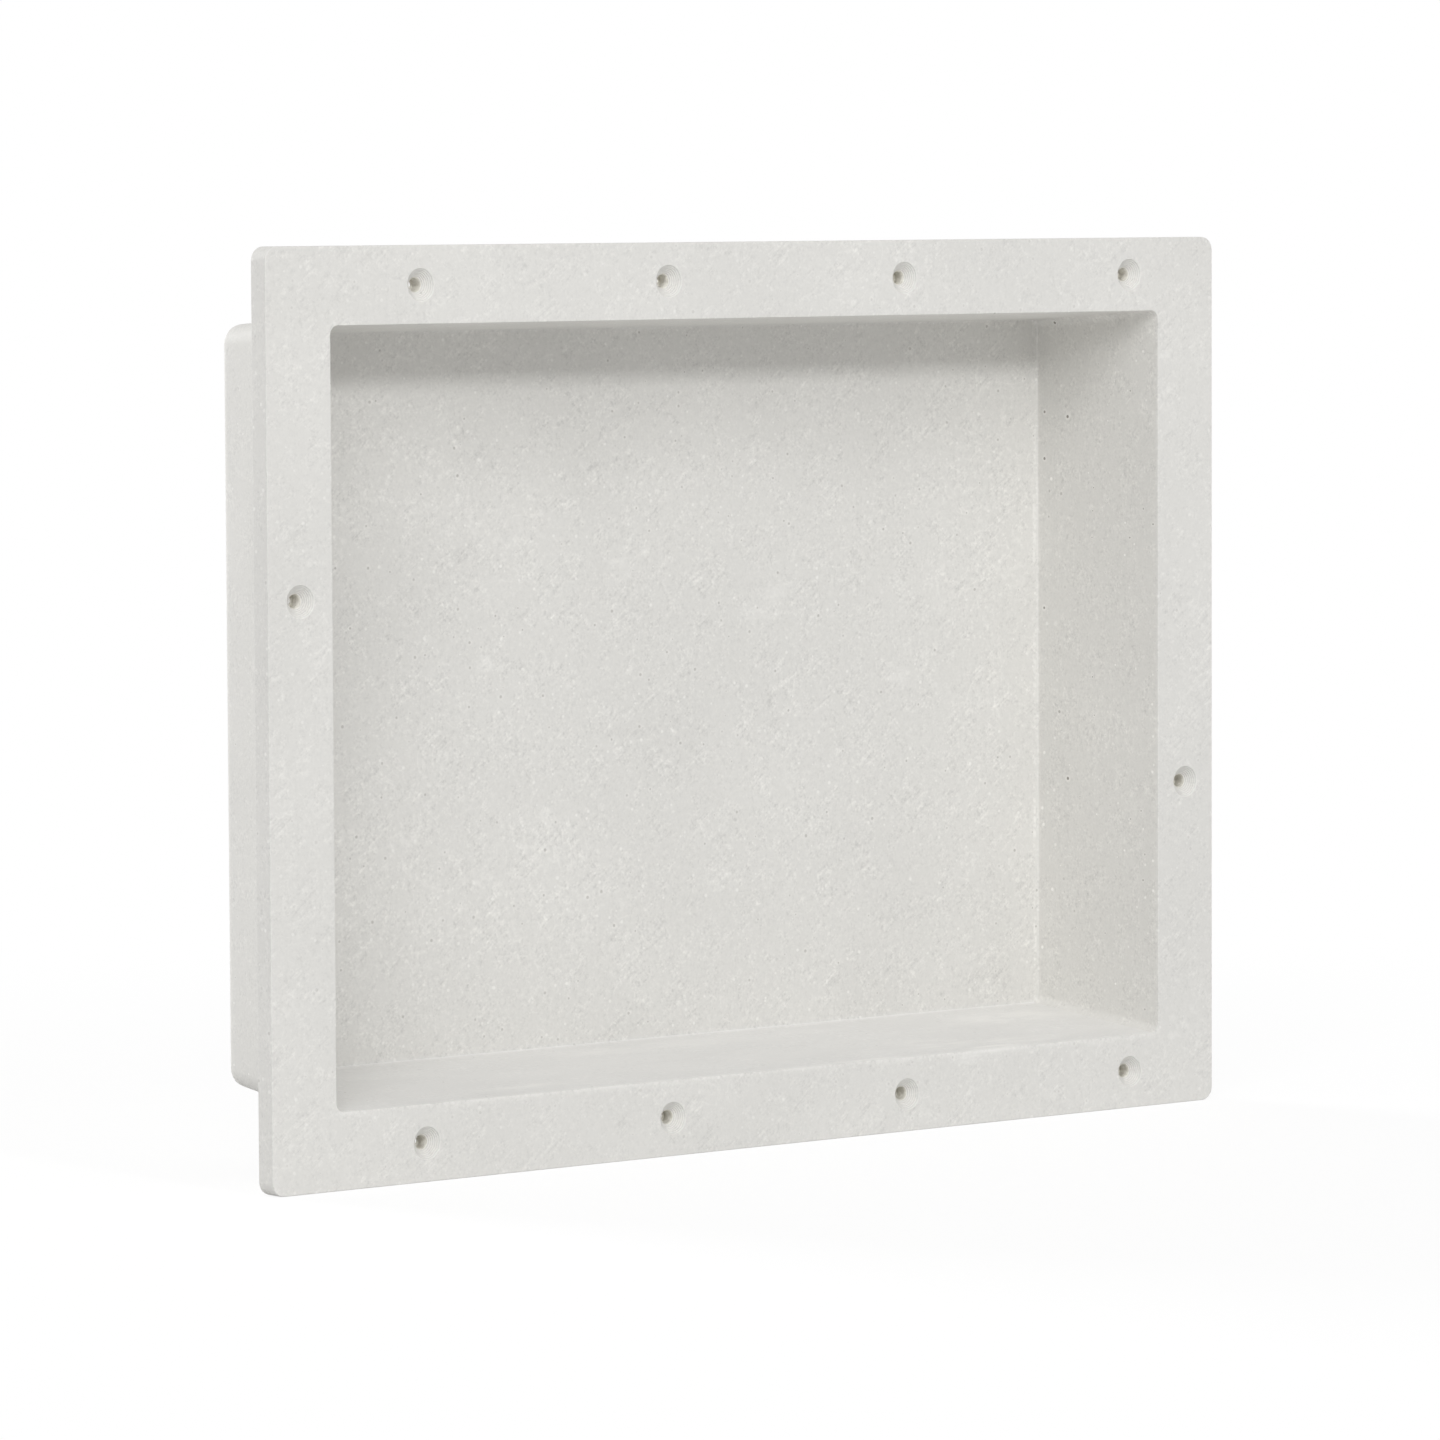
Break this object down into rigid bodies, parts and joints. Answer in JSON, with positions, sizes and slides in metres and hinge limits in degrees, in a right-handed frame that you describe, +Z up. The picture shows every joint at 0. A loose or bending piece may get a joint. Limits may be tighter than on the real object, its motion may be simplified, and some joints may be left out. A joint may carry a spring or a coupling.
{
  "type": "shower niche insert",
  "caption": "Moulded recess for a shower wall: a flat flange with countersunk screw holes around a shallow drafted box, closed at the back, whose floor falls to the front.",
  "frame": {"origin": "centre of the flange's back face, the face that lies against the wall studs", "axes": "+X to the right along the flange's width, +Y into the wall, +Z up; the recess opens towards -Y"},
  "size_m": [0.4064, 0.0635, 0.3048],
  "materials": {
    "moulding": "matte"
  },
  "bodies": {
    "root": {"niche_insert": "moulding"}
  },
  "joints": []
}
